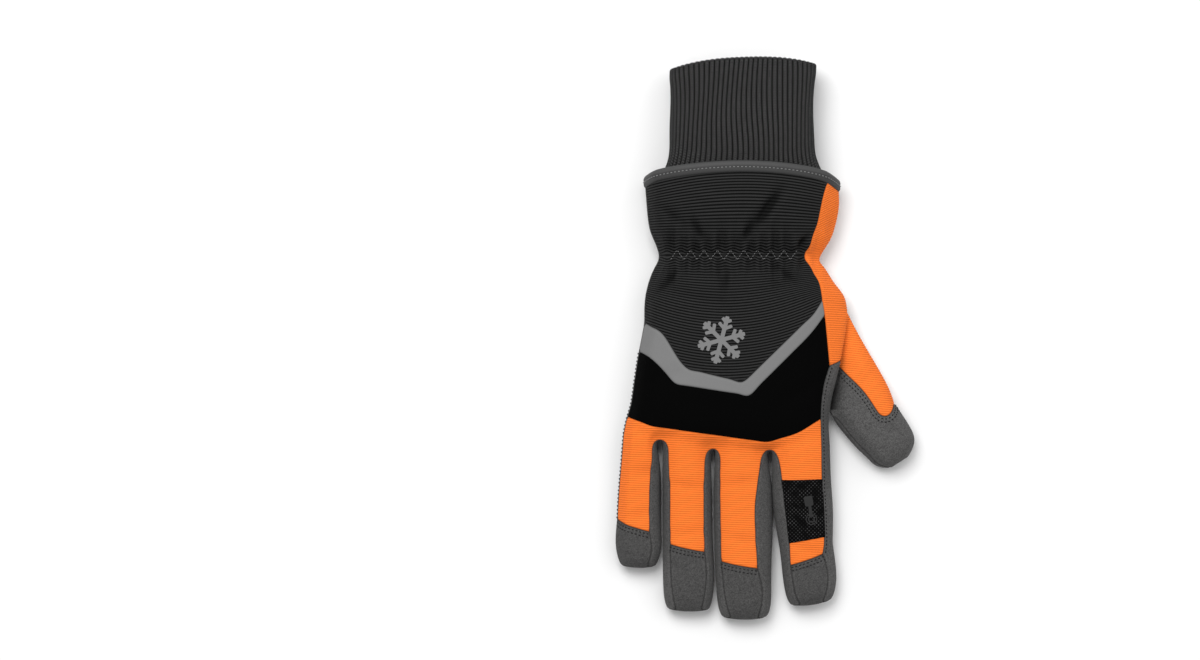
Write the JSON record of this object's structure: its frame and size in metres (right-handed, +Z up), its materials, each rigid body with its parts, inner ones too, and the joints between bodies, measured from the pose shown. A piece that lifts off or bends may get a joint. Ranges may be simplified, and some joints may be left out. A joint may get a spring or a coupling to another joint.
{
  "type": "winter work glove",
  "caption": "Right-hand winter work glove lying palm down, with suede palm, ribbed cloth back, padded palm patches, elastic wrist, gauntlet and long knitted cuff.",
  "frame": {"origin": "under the middle of the glove, on the surface that it lies on", "axes": "+Z up out of the back of the hand, +Y from the hand towards the cuff, +X towards the thumb side"},
  "size_m": [0.1673, 0.3144, 0.0432],
  "materials": {
    "grey_suede": "soft napped grey suede, matt",
    "ribbed_black_cloth": "stretch cloth with fine cross ribs, matt",
    "ribbed_orange_cloth": "bright orange stretch cloth with fine cross ribs",
    "black_neoprene": "smooth matt black foam cloth",
    "reflective_grey": "smooth grey reflective film on cloth",
    "black_touch_cloth": "smooth black cloth with a fine grain",
    "rib_knit": "dark grey rib knit",
    "binding_tape": "dark grey rolled tape, soft sheen",
    "label_rubber": "moulded black rubber, fine lines"
  },
  "bodies": {
    "root": {"back_panel": "ribbed_black_cloth", "palm_panel": "grey_suede", "thumb_gusset": "ribbed_orange_cloth", "reflective_strip": "reflective_grey", "knuckle_band": "black_neoprene", "finger_back": "ribbed_orange_cloth", "fourchette_1": "grey_suede", "fingertip_cap_1": "grey_suede", "fourchette_2": "grey_suede", "fingertip_cap_2": "grey_suede", "fourchette_3": "grey_suede", "fingertip_cap_3": "grey_suede", "fingertip_cap_4": "grey_suede", "thumb_cap": "grey_suede", "touch_patch": "black_touch_cloth", "cuff_binding": "binding_tape", "knit_cuff": "rib_knit", "pad_knuckle": "grey_suede", "pad_thumb_heel": "grey_suede", "pad_outer_heel": "grey_suede", "cuff_tab": "grey_suede", "cuff_label": "label_rubber"}
  },
  "joints": []
}
